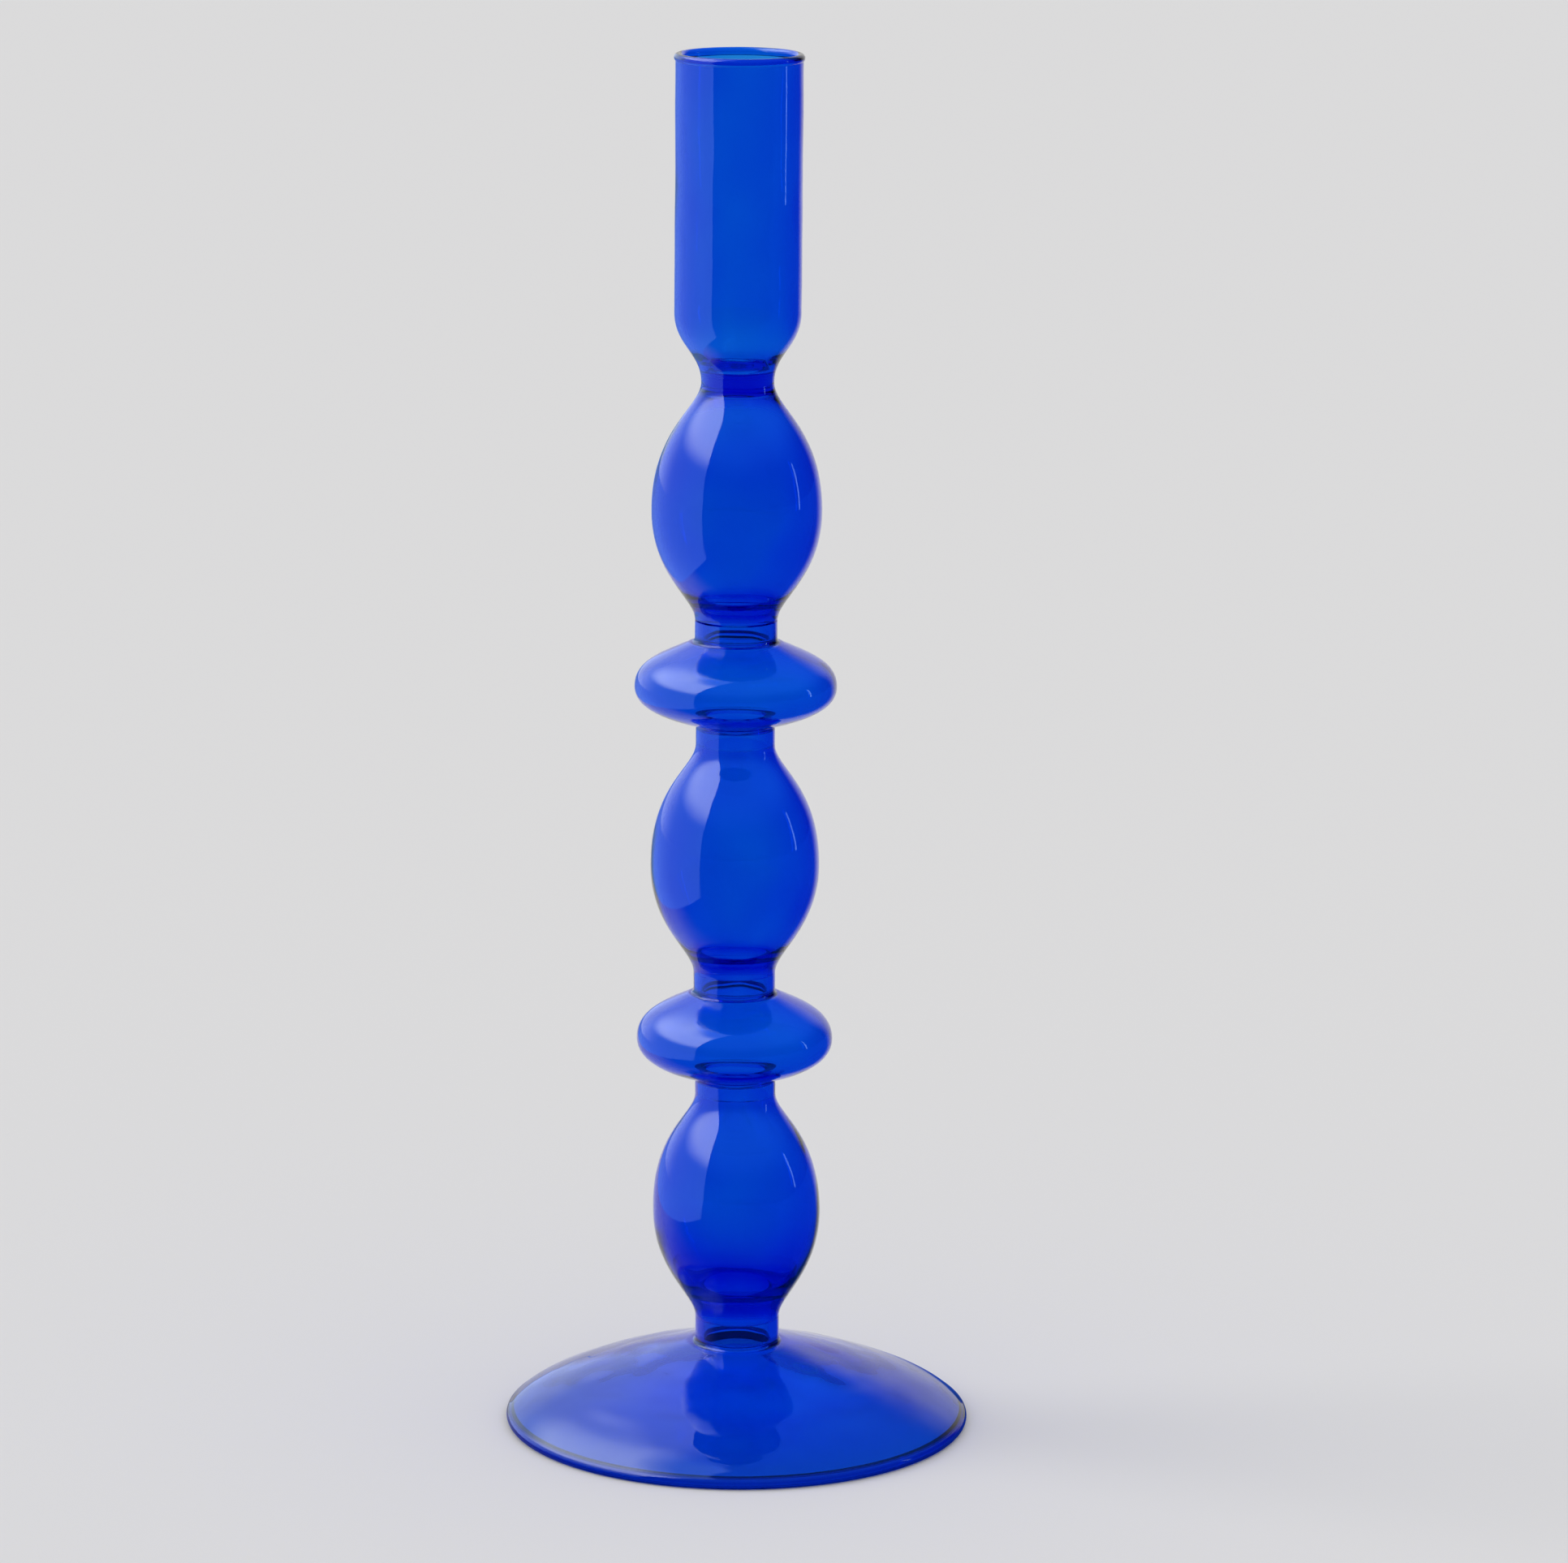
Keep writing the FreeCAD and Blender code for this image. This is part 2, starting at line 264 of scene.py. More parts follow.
def upper_bulb_sides():
    """The outside as far up as the waist, and the inside as far up as the plug's underside."""
    bottom = low("upper_bulb")
    outer, inner = neck_end("upper_bulb_neck")
    belly_height = bottom + UPPER_BELLY_ABOVE_NECK
    waist = (WAIST_RADIUS, low("cup_waist_plug") + WAIST_ABOVE_PLUG_FOOT)
    outside = bulb_side((outer, bottom), (radius("upper_bulb"), belly_height), waist)
    hollow = (radius("upper_bulb") - BULB_WALL, belly_height)
    ceiling_edge = (DISH_RADIUS, high("upper_bulb"))
    inside = cavity_side(
        "upper_bulb", inner, hollow, ceiling_edge, CEILING_BELLY_REACH, CEILING_EDGE_REACH
    )
    return outside, inside


def cup_sides():
    """The outside from the waist up, and the inside from the plug up, both as far as the rim's bead."""
    top = high("candle_cup")
    shoulder_height = low("candle_cup") + SHOULDER_ABOVE_PLUG
    cup_radius = radius("candle_cup")
    bore = cup_radius - CUP_WALL
    waist = (WAIST_RADIUS, low("cup_waist_plug") + WAIST_ABOVE_PLUG_FOOT)
    shoulder = upright_curve(waist, (cup_radius, shoulder_height), WAIST_REACH, CUP_SHOULDER_REACH)
    floor_edge = (DISH_RADIUS, low("candle_cup"))
    inner_shoulder = upright_curve(
        floor_edge, (bore, shoulder_height), CUP_FLOOR_REACH, CUP_FLOOR_SHOULDER_REACH
    )
    outside = joined(shoulder, straight((cup_radius, shoulder_height), (cup_radius, top), 24))
    inside = joined(inner_shoulder, straight((bore, shoulder_height), (bore, top), 24))
    return outside, inside


def upper_bulb_outline():
    outside, inside = upper_bulb_sides()
    return loop(clipped(outside, low("upper_bulb"), high("upper_bulb")), inside[::-1])


def candle_cup_outline():
    outside, inside = cup_sides()
    return loop(clipped(outside, low("candle_cup"), high("candle_cup")), inside[::-1])


def dish(edge_height, middle_height, steps=16):
    """A shallow round bowl, from the axis out to its edge."""
    depth = edge_height - middle_height
    ball = (DISH_RADIUS ** 2 + depth ** 2) / (2 * depth)
    points = []
    for i in range(steps + 1):
        r = DISH_RADIUS * i / steps
        bow = abs(ball) - math.sqrt(ball ** 2 - r ** 2)
        points.append((r, middle_height + math.copysign(bow, depth)))
    return points


def plug_outline():
    bottom, top = low("cup_waist_plug"), high("cup_waist_plug")
    outside = joined(upper_bulb_sides()[0], cup_sides()[0])
    ceiling = dish(bottom, bottom + DISH_DEPTH)
    floor = dish(top, top - DISH_DEPTH)
    wall = loop(clipped(outside, bottom, top), floor[::-1])
    return loop([], ceiling) + wall


CUP_BEAD_RADIUS = 0.9


def cup_bead_outline(steps=28):
    top, bottom = high("cup_rim_bead"), low("cup_rim_bead")
    cup_radius = radius("candle_cup")
    bore = cup_radius - CUP_WALL
    centre = (bore + CUP_BEAD_RADIUS, top - CUP_BEAD_RADIUS)
    start = math.degrees(math.asin((bottom - centre[1]) / CUP_BEAD_RADIUS))
    over = arc(centre, CUP_BEAD_RADIUS, start, 180, steps)
    points = joined(over, straight((bore, centre[1]), (bore, bottom), 3))
    return [(r, z, 1 - smooth_step(r, bore, cup_radius)) for r, z in points]


RIM_BEAD_RADIUS = 1.25
RIM_LAND = 1.0
RIM_JOIN_ANGLE = 55
FOOT_SLOPE = math.radians(15.5)
FOOT_SHOULDER_RADIUS = 42.8
FOOT_ROLL_RADIUS = 46.2
FOOT_ROLL_HEIGHT = 3.6
ROLL_INNER_DROP = 0.4


def rim_centre():
    half_land = RIM_LAND / 2
    return radius("foot_rim_bead") - RIM_BEAD_RADIUS, math.sqrt(RIM_BEAD_RADIUS ** 2 - half_land ** 2)


def foot_bead_outline(steps=22):
    centre = rim_centre()
    land_angle = math.degrees(math.acos(RIM_LAND / 2 / RIM_BEAD_RADIUS))
    outer = arc(centre, RIM_BEAD_RADIUS, -land_angle, RIM_JOIN_ANGLE, steps)
    inner = arc(centre, RIM_BEAD_RADIUS, 180 - RIM_JOIN_ANGLE, 180 + land_angle, steps)
    return loop(outer, inner)


def foot_dome_outline():
    bottom, top = low("foot_dome"), high("foot_dome")
    outer, inner = neck_end("foot_neck")
    centre = rim_centre()[0]
    join_reach = RIM_BEAD_RADIUS * math.cos(math.radians(RIM_JOIN_ANGLE))
    cone_start = (outer + SEAL_FLARE, top)
    shoulder = top - (FOOT_SHOULDER_RADIUS - cone_start[0]) * math.tan(FOOT_SLOPE)
    outside = bezier(
        cone_start,
        (FOOT_SHOULDER_RADIUS, shoulder),
        (FOOT_ROLL_RADIUS, FOOT_ROLL_HEIGHT),
        (centre + join_reach, bottom),
        steps=72,
    )
    inner_corner = (inner, top - FOOT_WALL)
    inside = bezier(
        inner_corner,
        (FOOT_SHOULDER_RADIUS, shoulder - FOOT_WALL),
        (FOOT_ROLL_RADIUS - FOOT_WALL, FOOT_ROLL_HEIGHT - ROLL_INNER_DROP),
        (centre - join_reach, bottom),
        steps=72,
    )
    return loop(outside[::-1], joined(straight((inner, top), inner_corner, 4), inside))


# ---------------------------------------------------------------- hand-worked glass

STEM_BOW = 1.1
RIPPLE_OUTSIDE = 0.10
RIPPLE_INSIDE = 0.20
FOOT_RIPPLE_ABOVE = 0.20
FOOT_RIPPLE_BELOW = 0.25
FOOT_REACH = 17.0
OUTSIDE_SEED = 0
INSIDE_SEED = 40
ON_AXIS = 1e-4

# The ripples' noise, coarse and fine: turns round the axis, pitch in millimetres, and seed
SWELL = (0.9, 16, 0)
FINE_SWELL = (2.2, 7, 9)
FINE_SWELL_SHARE = 0.4
WAVE = (1.6, 9, 21)
FINE_WAVE = (3.4, 5, 33)
FINE_WAVE_SHARE = 0.5

# Where the ripples fade in and out (radii), and where the stem's bow builds up (heights)
STEM_FADE_IN = (0, 3)
STEM_FADE_OUT = (21, 26)
FOOT_FADE_IN = (13, 20)
FOOT_FADE_OUT = (38, 44)
BOW_HEIGHTS = (10, 110)

GLASS_IOR = 1.47
BODY_COLOUR = (0.0, 0.705, 0.980, 1)
BODY_DENSITY = 2600.0
BULB_DENSITY_SHARE = 1.25
DISC_DENSITY_SHARE = 1.1
FOOT_DENSITY_SHARE = 0.75
PLUG_DENSITY_SHARE = 0.5
RIM_DENSITY_SHARE = 1.6
# Painted shade on the foot: its glass is drawn darker from the middle out to the rim, between these
# distances from the axis in metres
FOOT_RIM_PAINTED_SHADE = (0.36, 0.42, 0.66)
RIM_SHADE_START = 0.010
RIM_SHADE_END = 0.042


def ripple(angle, along, pattern, wall_seed):
    """Smooth noise over the glass, the same on both sides of a seam."""
    turns, pitch, seed = pattern
    height = along / pitch + (wall_seed + seed)
    return noise.noise(Vector((turns * math.cos(angle), turns * math.sin(angle), height)))


def worked(r, angle, height, depth):
    """Where a point of the turned outline ends up on glass worked by hand."""
    swells = []
    waves = []
    for seed in (OUTSIDE_SEED, INSIDE_SEED):
        fine = ripple(angle, height, FINE_SWELL, seed)
        swells.append(ripple(angle, height, SWELL, seed) + FINE_SWELL_SHARE * fine)
        fine = ripple(angle, r, FINE_WAVE, seed)
        waves.append(ripple(angle, r, WAVE, seed) + FINE_WAVE_SHARE * fine)
    swell = (1 - depth) * RIPPLE_OUTSIDE * swells[0] + depth * RIPPLE_INSIDE * swells[1]
    wave = (1 - depth) * FOOT_RIPPLE_ABOVE * waves[0] + depth * FOOT_RIPPLE_BELOW * waves[1]
    on_stem = smooth_step(r, *STEM_FADE_IN) * (1 - smooth_step(r, *STEM_FADE_OUT))
    shifted = r + swell * on_stem
    on_foot = 0
    if height < FOOT_REACH:
        on_foot = smooth_step(r, *FOOT_FADE_IN) * (1 - smooth_step(r, *FOOT_FADE_OUT))
    x = shifted * math.cos(angle) - STEM_BOW * smooth_step(height, *BOW_HEIGHTS)
    y = shifted * math.sin(angle)
    return Vector((x, y, height + wave * on_foot)) * MM


# ---------------------------------------------------------------- pieces

def turned_piece(node, outline):
    """A closed mesh turned from a closed outline. One that starts and ends on the axis is solid.

    It reaches a hair past its seams, so that light goes on through fused glass without a break.
    """
    middle = (low(node) + high(node)) / 2
    stretch = 1 + SEAM_OVERLAP / (high(node) - low(node))
    mesh = bmesh.new()
    rings = []
    for r, height, depth in outline:
        height = middle + (height - middle) * stretch
        angles = [2 * math.pi * j / SEGMENTS for j in range(SEGMENTS)] if r > ON_AXIS else [0]
        rings.append([mesh.verts.new(worked(r, angle, height, depth)) for angle in angles])
    if len(rings[0]) > 1:
        rings.append(rings[0])
    for first, second in zip(rings, rings[1:]):
        for j in range(SEGMENTS):
            k = (j + 1) % SEGMENTS
            corners = [first[j % len(first)], first[k % len(first)]]
            corners += [second[k % len(second)], second[j % len(second)]]
            mesh.faces.new(list(dict.fromkeys(corners)))
    bmesh.ops.recalc_face_normals(mesh, faces=mesh.faces)
    data = bpy.data.meshes.new("glass_" + node)
    mesh.to_mesh(data)
    mesh.free()
    data.shade_smooth()
    data.set_sharp_from_angle(angle=SHARP_ANGLE)
    piece = bpy.data.objects.new("glass_" + node, data)
    bpy.context.scene.collection.objects.link(piece)
    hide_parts(node)
    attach(piece, "root")
    return piece


OUTLINES = {
    "cup_rim_bead": cup_bead_outline(),
    "candle_cup": candle_cup_outline(),
    "cup_waist_plug": plug_outline(),
    "upper_bulb": upper_bulb_outline(),
    "upper_disc_top_seal": seal_outline("upper_disc_top_seal", "upper_bulb_neck", True),
    "upper_disc": disc_outline("upper_disc", "upper_bulb_neck", "upper_disc_neck"),
    "upper_disc_bottom_seal": seal_outline("upper_disc_bottom_seal", "upper_disc_neck", False),
    "middle_bulb": bulb_outline("middle_bulb", "upper_disc_neck", "middle_bulb_neck", MIDDLE_BELLY_SHARE),
    "lower_disc_top_seal": seal_outline("lower_disc_top_seal", "middle_bulb_neck", True),
    "lower_disc": disc_outline("lower_disc", "middle_bulb_neck", "lower_disc_neck"),
    "lower_disc_bottom_seal": seal_outline("lower_disc_bottom_seal", "lower_disc_neck", False),
    "lower_bulb": bulb_outline("lower_bulb", "lower_disc_neck", "foot_neck", LOWER_BELLY_SHARE),
    "foot_seal": seal_outline("foot_seal", "foot_neck", True),
    "foot_dome": foot_dome_outline(),
    "foot_rim_bead": foot_bead_outline(),
}
NECKS = ("upper_bulb_neck", "upper_disc_neck", "middle_bulb_neck", "lower_disc_neck", "foot_neck")
for neck in NECKS:
    OUTLINES[neck] = neck_outline(neck)
pieces = {node: turned_piece(node, outline) for node, outline in OUTLINES.items()}


# ---------------------------------------------------------------- glass

def add(nodes, kind, **inputs):
    node = nodes.new(kind)
    for name, value in inputs.items():
        node.inputs[name.replace("_", " ")].default_value = value
    return node


def blue_glass(name, density_share, painted_rim_shade=(1, 1, 1)):
    """Transparent cobalt-blue glass: clear surfaces over a body that absorbs red and green.

    The last argument paints shade: it darkens the glass from the middle of the foot out to its rim.
    """
    material = bpy.data.materials.new(name)
    material.use_nodes = True
    nodes = material.node_tree.nodes
    links = material.node_tree.links
    nodes.clear()
    output = nodes.new("ShaderNodeOutputMaterial")
    surface = add(nodes, "ShaderNodeBsdfPrincipled", IOR=GLASS_IOR, Transmission_Weight=1.0)
    place = nodes.new("ShaderNodeTexCoord")

    # faint streaks of denser colour that the flame has drawn along the tube
    along = nodes.new("ShaderNodeMapping")
    along.inputs["Scale"].default_value = (90, 90, 14)
    streaks = add(nodes, "ShaderNodeTexNoise", Scale=1.0, Detail=3.0, Roughness=0.5, Distortion=0.8)
    tint = nodes.new("ShaderNodeValToRGB")
    tint.color_ramp.elements[0].position = 0.35
    tint.color_ramp.elements[0].color = (0.90, 0.94, 1.0, 1)
    tint.color_ramp.elements[1].position = 0.65
    tint.color_ramp.elements[1].color = (1, 1, 1, 1)
    links.new(place.outputs["Object"], along.inputs["Vector"])
    links.new(along.outputs["Vector"], streaks.inputs["Vector"])
    links.new(streaks.outputs["Fac"], tint.inputs["Fac"])
    # painted shade: the base colour is multiplied darker from the middle out towards the rim
    axes = nodes.new("ShaderNodeSeparateXYZ")
    flat = nodes.new("ShaderNodeCombineXYZ")
    distance = nodes.new("ShaderNodeVectorMath")
    distance.operation = "LENGTH"
    rim_shade_mask = nodes.new("ShaderNodeMapRange")
    rim_shade_mask.interpolation_type = "SMOOTHSTEP"
    rim_shade_mask.inputs["From Min"].default_value = RIM_SHADE_START
    rim_shade_mask.inputs["From Max"].default_value = RIM_SHADE_END
    shaded_towards_rim = nodes.new("ShaderNodeMix")
    shaded_towards_rim.data_type = "RGBA"
    shaded_towards_rim.blend_type = "MULTIPLY"
    shaded_towards_rim.inputs["B"].default_value = tuple(painted_rim_shade) + (1,)
    links.new(place.outputs["Object"], axes.inputs["Vector"])
    links.new(axes.outputs["X"], flat.inputs["X"])
    links.new(axes.outputs["Y"], flat.inputs["Y"])
    links.new(flat.outputs["Vector"], distance.inputs["Vector"])
    links.new(distance.outputs["Value"], rim_shade_mask.inputs["Value"])
    links.new(rim_shade_mask.outputs["Result"], shaded_towards_rim.inputs["Factor"])
    links.new(tint.outputs["Color"], shaded_towards_rim.inputs["A"])
    links.new(shaded_towards_rim.outputs["Result"], surface.inputs["Base Color"])

    # fire-polished, with slightly duller patches
    patches = add(nodes, "ShaderNodeTexNoise", Scale=70.0, Detail=2.0)
    polish = nodes.new("ShaderNodeMapRange")
    polish.inputs["To Min"].default_value = 0.0
    polish.inputs["To Max"].default_value = 0.035
    links.new(place.outputs["Object"], patches.inputs["Vector"])
    links.new(patches.outputs["Fac"], polish.inputs["Value"])
    links.new(polish.outputs["Result"], surface.inputs["Roughness"])

    # shallow ripples left by working the glass
    ripples = add(nodes, "ShaderNodeTexNoise", Scale=110.0, Detail=1.5, Roughness=0.4)
    relief = add(nodes, "ShaderNodeBump", Strength=0.25, Distance=0.0003)
    links.new(place.outputs["Object"], ripples.inputs["Vector"])
    links.new(ripples.outputs["Fac"], relief.inputs["Height"])
    links.new(relief.outputs["Normal"], surface.inputs["Normal"])

    body = add(nodes, "ShaderNodeVolumeAbsorption", Color=BODY_COLOUR)
    body.inputs["Density"].default_value = BODY_DENSITY * density_share
    links.new(surface.outputs["BSDF"], output.inputs["Surface"])
    links.new(body.outputs["Volume"], output.inputs["Volume"])
    return material


stem_glass = blue_glass("blue_glass_stem", 1.0)
bulb_glass = blue_glass("blue_glass_bulbs", BULB_DENSITY_SHARE)
disc_glass = blue_glass("blue_glass_discs", DISC_DENSITY_SHARE)
plug_glass = blue_glass("blue_glass_plug", PLUG_DENSITY_SHARE)
rim_glass = blue_glass("blue_glass_rim", RIM_DENSITY_SHARE)
# the foot's glass carries painted shade towards its rim
foot_glass = blue_glass("blue_glass_foot", FOOT_DENSITY_SHARE, FOOT_RIM_PAINTED_SHADE)
for node, piece in pieces.items():
    glass = stem_glass
    if node.endswith("_bulb"):
        glass = bulb_glass
    elif node.endswith("_disc"):
        glass = disc_glass
    elif node in ("foot_dome", "foot_rim_bead"):
        glass = foot_glass
    elif node == "cup_waist_plug":
        glass = plug_glass
    elif node == "cup_rim_bead":
        glass = rim_glass
    piece.data.materials.append(glass)


# ---------------------------------------------------------------- floor, light and camera

PALE = 0.708
FLOOR_ALBEDO = 0.80
SKY_ON_FLOOR = 0.77
FLOOR_HALF_SIZE = 9.0
DIM = 0.012

# The bright side of the room, as the glass reflects it: to the left, from BRIGHT_SIDE_SLANT round to
# the back, and brightest in a window high up
BRIGHT_SIDE_SLANT = 1.07
BRIGHT_SIDE_BACK = 0.12
BRIGHT_SIDE_COLOUR = (0.56, 1.02, 2.2)
WINDOW_COLOUR = (4.5, 5.0, 5.2)
AMBIENT_COLOUR = (0.05, 0.30, 1.7)
# Painted shade: the floor's dim blue as reflections and bent rays see it
PAINTED_SHADE_FLOOR_COLOUR = (0.02, 0.09, 0.50)
LIGHT_UNDER_GLASS = 1.3
# The floor's painted glow to the left, seen only in reflections, begins at this x in metres
GLOW_EDGE = -0.18
GLOW_EDGE_SOFTNESS = 0.01

# Where the studio's tones change over: (start, end) of each smooth step. The floor's are in metres,
# and the sky's are parts of a ray's direction.
BEHIND = (-0.05, 0.06)
BEHIND_RIGHT_EDGE = (1.0, 0.4)
BRIGHT_SIDE_FRONT_EDGE = (-0.01, 0.03)
BRIGHT_SIDE_BACK_EDGE = (0, 0.06)
FADE_TO_BACK = (0.2, 2.5)
FLOOR_THROUGH_GLASS = (-0.9, -0.4)
SKY_THROUGH_GLASS = (-0.6, -0.1)
LOW_SKY = (0.60, 0.30)
SKY_WELL_BEHIND = (0.2, 0.8)
WINDOW_SILL = (0.36, 0.60)
WINDOW_HEAD = (0.97, 0.88)
STEEP_RAYS = (0.25, 0.75)
WALL_LEAST = 0.4
WINDOW_LEAST = 0.2
NEVER_ZERO = 0.001

# Soft light on the floor
DAYLIGHT = 0.75
DAYLIGHT_COLOUR = (1, 0.97, 0.86)
SKY_COLOUR = (0.995, 0.995, 1.02)
DAYLIGHT_SPREAD = math.radians(35)
DAYLIGHT_DIRECTION = (0.85, -0.12, -0.5)

# A narrow, cool light to the right, which the glass shows as a thin glint
SLIT_PLACE = (1.2, 0.05, 0.35)
SLIT_TARGET = (0, 0, 0.25)
SLIT_WIDTH = 0.05
SLIT_LENGTH = 0.5
SLIT_POWER = 0.35
SLIT_COLOUR = (0.35, 0.65, 1)

# How many times light may bend or bounce, so that many walls of glass stay clear
GLASS_BOUNCES = 32
MIRROR_BOUNCES = 16
PAPER_BOUNCES = 4

CAMERA_DISTANCE = 1.288
CAMERA_HEIGHT = 0.4184
CAMERA_PITCH = math.radians(12.3)
CAMERA_PAN = math.radians(0.40)
CAMERA_ROLL = math.radians(0.45)
FOCAL_LENGTH = 146.3
FILM_WIDTH = 36
CAMERA_REACH = 40


class Shading:
    """Short names for the shader nodes of the floor and the sky."""

    def __init__(self, tree):
        self.nodes = tree.nodes
        self.links = tree.links
        self.nodes.clear()

    def plug(self, value, socket):
        if isinstance(value, bpy.types.NodeSocket):
            self.links.new(value, socket)
        else:
            socket.default_value = value

    def maths(self, operation, first, second, clamped=False):
        node = self.nodes.new("ShaderNodeMath")
        node.operation = operation
        node.use_clamp = clamped
        self.plug(first, node.inputs[0])
        self.plug(second, node.inputs[1])
        return node.outputs["Value"]

    def step(self, value, start, end):
        """0 up to start and 1 from end, smooth between them."""
        node = self.nodes.new("ShaderNodeMapRange")
        node.interpolation_type = "SMOOTHSTEP"
        self.plug(value, node.inputs["Value"])
        node.inputs["From Min"].default_value = start
        node.inputs["From Max"].default_value = end
        return node.outputs["Result"]

    def axes(self, coordinates):
        place = self.nodes.new("ShaderNodeTexCoord")
        split = self.nodes.new("ShaderNodeSeparateXYZ")
        self.links.new(place.outputs[coordinates], split.inputs["Vector"])
        return split.outputs["X"], split.outputs["Y"], split.outputs["Z"]

    def shader(self, kind, colour, strength=None):
        node = self.nodes.new(kind)
        self.plug(tuple(colour) + (1,), node.inputs["Color"])
        if strength is not None:
            self.plug(strength, node.inputs["Strength"])
        return node.outputs[0]

    def mix(self, factor, first, second):
        node = self.nodes.new("ShaderNodeMixShader")
        self.plug(factor, node.inputs["Fac"])
        self.links.new(first, node.inputs[1])
        self.links.new(second, node.inputs[2])
        return node.outputs["Shader"]

    def sum(self, first, second):
        node = self.nodes.new("ShaderNodeAddShader")
        self.links.new(first, node.inputs[0])
        self.links.new(second, node.inputs[1])
        return node.outputs["Shader"]

    def rays(self):
        """1 for light on its way to the floor, for a ray bent through glass, and for one mirrored."""
        path = self.nodes.new("ShaderNodeLightPath")
        bent = path.outputs["Is Transmission Ray"]
        mirrored = self.maths("SUBTRACT", path.outputs["Is Glossy Ray"], bent, clamped=True)
        to_floor = self.maths("GREATER_THAN", path.outputs["Diffuse Depth"], 0.5)
        return to_floor, bent, mirrored

    def behind(self, x, y):
        """1 behind the object, and 0 well to its right."""
        share = self.maths("DIVIDE", x, self.maths("MAXIMUM", y, NEVER_ZERO))
        return self.maths("MULTIPLY", self.step(y, *BEHIND), self.step(share, *BEHIND_RIGHT_EDGE))

    def faded(self, x, y, least):
        """1 at the object's left, falling to its least towards the back."""
        share = self.maths("DIVIDE", y, self.maths("MULTIPLY", x, -1.0))
        fall = self.maths("MULTIPLY", self.step(share, *FADE_TO_BACK), 1 - least)
        return self.maths("SUBTRACT", 1.0, fall)

    def bright_side(self, x, y):
        """1 to the left of the object, from the slanting front edge round to the back."""
        front = self.maths("SUBTRACT", self.maths("MULTIPLY", y, BRIGHT_SIDE_SLANT), x)
        back = self.maths("SUBTRACT", self.maths("MULTIPLY", y, -BRIGHT_SIDE_BACK), x)
        past_front = self.step(front, *BRIGHT_SIDE_FRONT_EDGE)
        return self.maths("MULTIPLY", past_front, self.step(back, *BRIGHT_SIDE_BACK_EDGE))

    def finish(self, kind, shader):
        output = self.nodes.new(kind)
        self.links.new(shader, output.inputs["Surface"])


def studio_floor():
    """A wide, plain, pale floor. Reflections see it in painted dim blue shade, apart from behind, where it
    stays pale, and the left, where it has a painted glow though it is no lamp.
    """
    data = bpy.data.meshes.new("floor")
    reach = FLOOR_HALF_SIZE
    corners = [(-reach, -reach, 0), (reach, -reach, 0), (reach, reach, 0), (-reach, reach, 0)]
    data.from_pydata(corners, [], [(0, 1, 2, 3)])
    floor = bpy.data.objects.new("floor", data)
    floor.location.z = -0.0001
    bpy.context.scene.collection.objects.link(floor)
    material = bpy.data.materials.new("floor_paper")
    material.use_nodes = True
    material.cycles.emission_sampling = "NONE"
    shading = Shading(material.node_tree)
    x, y, _ = shading.axes("Object")
    to_floor, bent, mirrored = shading.rays()
    paper = shading.shader("ShaderNodeBsdfDiffuse", (FLOOR_ALBEDO,) * 3)
    # painted shade: dim blue floor for reflections and, in front, for rays bent through the glass
    painted_dark = shading.shader("ShaderNodeBsdfDiffuse", PAINTED_SHADE_FLOOR_COLOUR)
    # painted glow: in reflections the floor to the left emits the bright side's light, though it is no lamp
    painted_glow = shading.shader("ShaderNodeEmission", BRIGHT_SIDE_COLOUR, shading.faded(x, y, WALL_LEAST))
    past_edge = shading.step(x, GLOW_EDGE, GLOW_EDGE - GLOW_EDGE_SOFTNESS)
    on_painted_glow = shading.maths("MULTIPLY", shading.bright_side(x, y), past_edge)
    reflected = shading.mix(on_painted_glow, shading.mix(shading.behind(x, y), painted_dark, paper), painted_glow)
    bent_through = shading.mix(shading.step(y, *FLOOR_THROUGH_GLASS), painted_dark, paper)
    seen = shading.mix(mirrored, shading.mix(bent, paper, bent_through), reflected)
    shading.finish("ShaderNodeOutputMaterial", shading.mix(to_floor, seen, paper))
    data.materials.append(material)


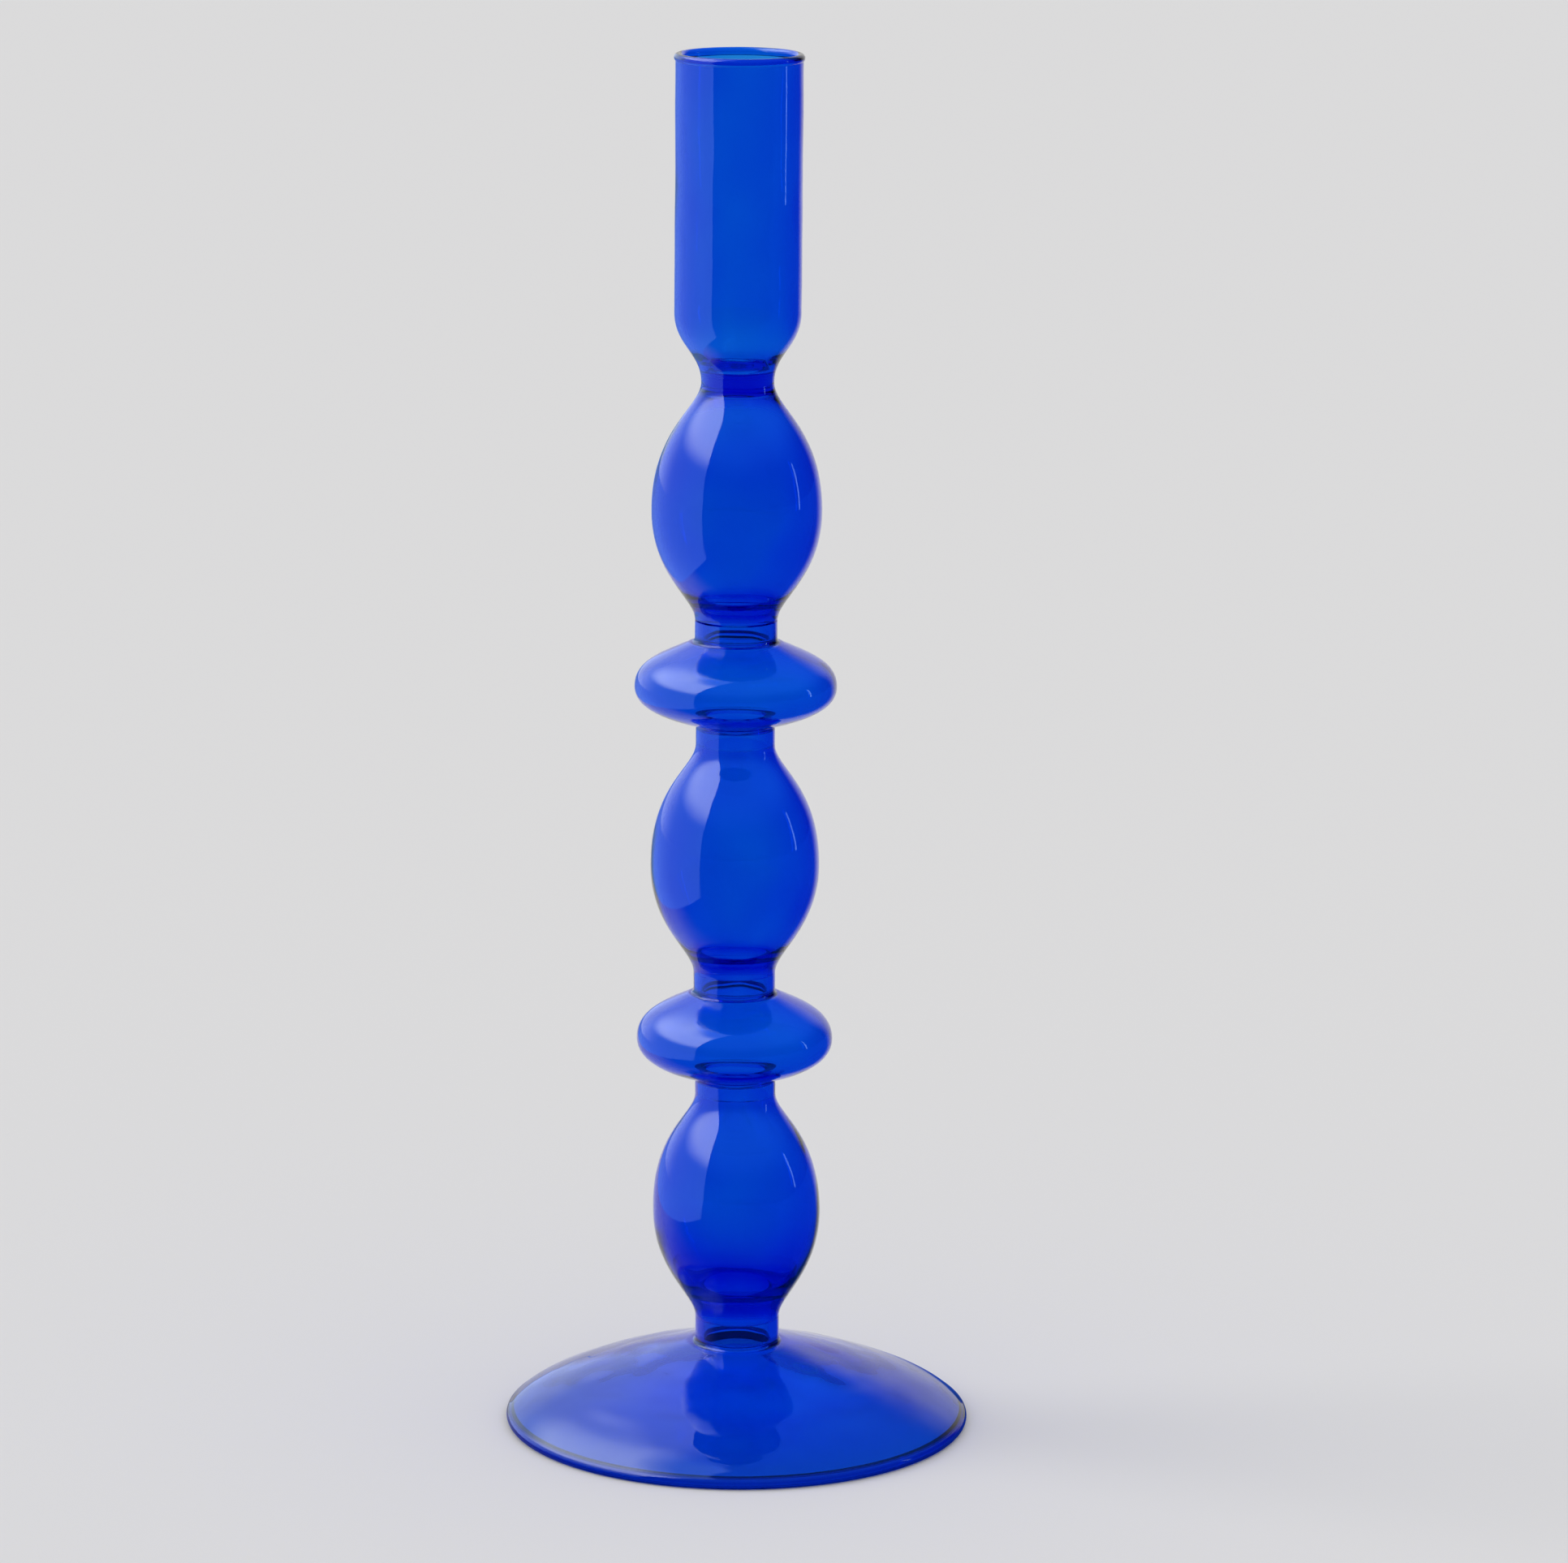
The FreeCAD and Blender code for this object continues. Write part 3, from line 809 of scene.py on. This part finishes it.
def studio_sky():
    """Even pale light all round; in reflections it is bright behind and to the left, and dim in front."""
    world = bpy.data.worlds.new("studio")
    bpy.context.scene.world = world
    world.use_nodes = True
    shading = Shading(world.node_tree)
    x, y, z = shading.axes("Generated")
    to_floor, bent, mirrored = shading.rays()
    pale = shading.shader("ShaderNodeBackground", (1, 1, 1), PALE)
    extra = shading.maths("MULTIPLY", bent, LIGHT_UNDER_GLASS - SKY_ON_FLOOR)
    on_floor = shading.shader("ShaderNodeBackground", SKY_COLOUR, shading.maths("ADD", extra, SKY_ON_FLOOR))
    through = shading.maths("MULTIPLY", shading.step(y, *SKY_THROUGH_GLASS), PALE)
    through_glass = shading.shader("ShaderNodeBackground", (1, 1, 1), through)
    low_behind = shading.maths("MULTIPLY", shading.behind(x, y), shading.step(z, *LOW_SKY))
    low_behind = shading.maths("MULTIPLY", low_behind, shading.step(y, *SKY_WELL_BEHIND))
    behind = shading.maths("ADD", shading.maths("MULTIPLY", low_behind, PALE), DIM)
    left = shading.bright_side(x, y)
    up_high = shading.maths("MULTIPLY", shading.step(z, *WINDOW_SILL), shading.step(z, *WINDOW_HEAD))
    window = shading.maths("MULTIPLY", left, up_high)
    window = shading.maths("MULTIPLY", window, shading.faded(x, y, WINDOW_LEAST))
    wall = shading.maths("MULTIPLY", left, shading.maths("SUBTRACT", 1.0, up_high))
    wall = shading.maths("MULTIPLY", wall, shading.faded(x, y, WALL_LEAST))
    room = shading.shader("ShaderNodeBackground", (1, 1, 1), behind)
    steep = shading.step(shading.maths("ABSOLUTE", z, 0), *STEEP_RAYS)
    ambient = shading.shader("ShaderNodeBackground", AMBIENT_COLOUR, steep)
    room = shading.sum(room, ambient)
    wall_light = shading.shader("ShaderNodeBackground", BRIGHT_SIDE_COLOUR, wall)
    window_light = shading.shader("ShaderNodeBackground", WINDOW_COLOUR, window)
    reflected = shading.sum(room, shading.sum(wall_light, window_light))
    seen = shading.mix(mirrored, shading.mix(bent, pale, through_glass), reflected)
    shading.finish("ShaderNodeOutputWorld", shading.mix(to_floor, seen, on_floor))


def softbox(name, place, target, width, height, power):
    """A rectangular area light, facing its target, that the camera doesn't see."""
    data = bpy.data.lights.new(name, "AREA")
    data.shape = "RECTANGLE"
    data.size = width
    data.size_y = height
    data.energy = power
    light = bpy.data.objects.new(name, data)
    light.location = place
    light.rotation_euler = (Vector(target) - Vector(place)).to_track_quat("-Z", "Y").to_euler()
    light.visible_camera = False
    bpy.context.scene.collection.objects.link(light)
    return light


def daylight():
    """Soft light from the left, which gives the object a faint shadow to its right."""
    data = bpy.data.lights.new("daylight", "SUN")
    data.energy = DAYLIGHT
    data.color = DAYLIGHT_COLOUR
    data.angle = DAYLIGHT_SPREAD
    light = bpy.data.objects.new("daylight", data)
    towards_object = Vector(DAYLIGHT_DIRECTION)
    light.rotation_euler = towards_object.to_track_quat("-Z", "Y").to_euler()
    light.visible_camera = False
    light.visible_glossy = False
    light.visible_transmission = False
    bpy.context.scene.collection.objects.link(light)


def studio_camera():
    data = bpy.data.cameras.new("camera")
    data.lens = FOCAL_LENGTH
    data.sensor_width = FILM_WIDTH
    data.clip_end = CAMERA_REACH
    camera = bpy.data.objects.new("camera", data)
    camera.location = (0, -CAMERA_DISTANCE, CAMERA_HEIGHT)
    aim = Euler((math.radians(90) - CAMERA_PITCH, 0, -CAMERA_PAN)).to_quaternion()
    roll = Euler((0, 0, CAMERA_ROLL)).to_quaternion()
    camera.rotation_euler = (aim @ roll).to_euler()
    bpy.context.scene.collection.objects.link(camera)
    bpy.context.scene.camera = camera


studio_floor()
studio_sky()
studio_camera()
slit = softbox("slit", SLIT_PLACE, SLIT_TARGET, SLIT_WIDTH, SLIT_LENGTH, SLIT_POWER)
slit.data.color = SLIT_COLOUR
slit.visible_diffuse = False
daylight()

scene = bpy.context.scene
scene.view_settings.view_transform = "Standard"
scene.cycles.max_bounces = GLASS_BOUNCES
scene.cycles.transmission_bounces = GLASS_BOUNCES
scene.cycles.glossy_bounces = MIRROR_BOUNCES
scene.cycles.diffuse_bounces = PAPER_BOUNCES
scene.cycles.blur_glossy = 0.0
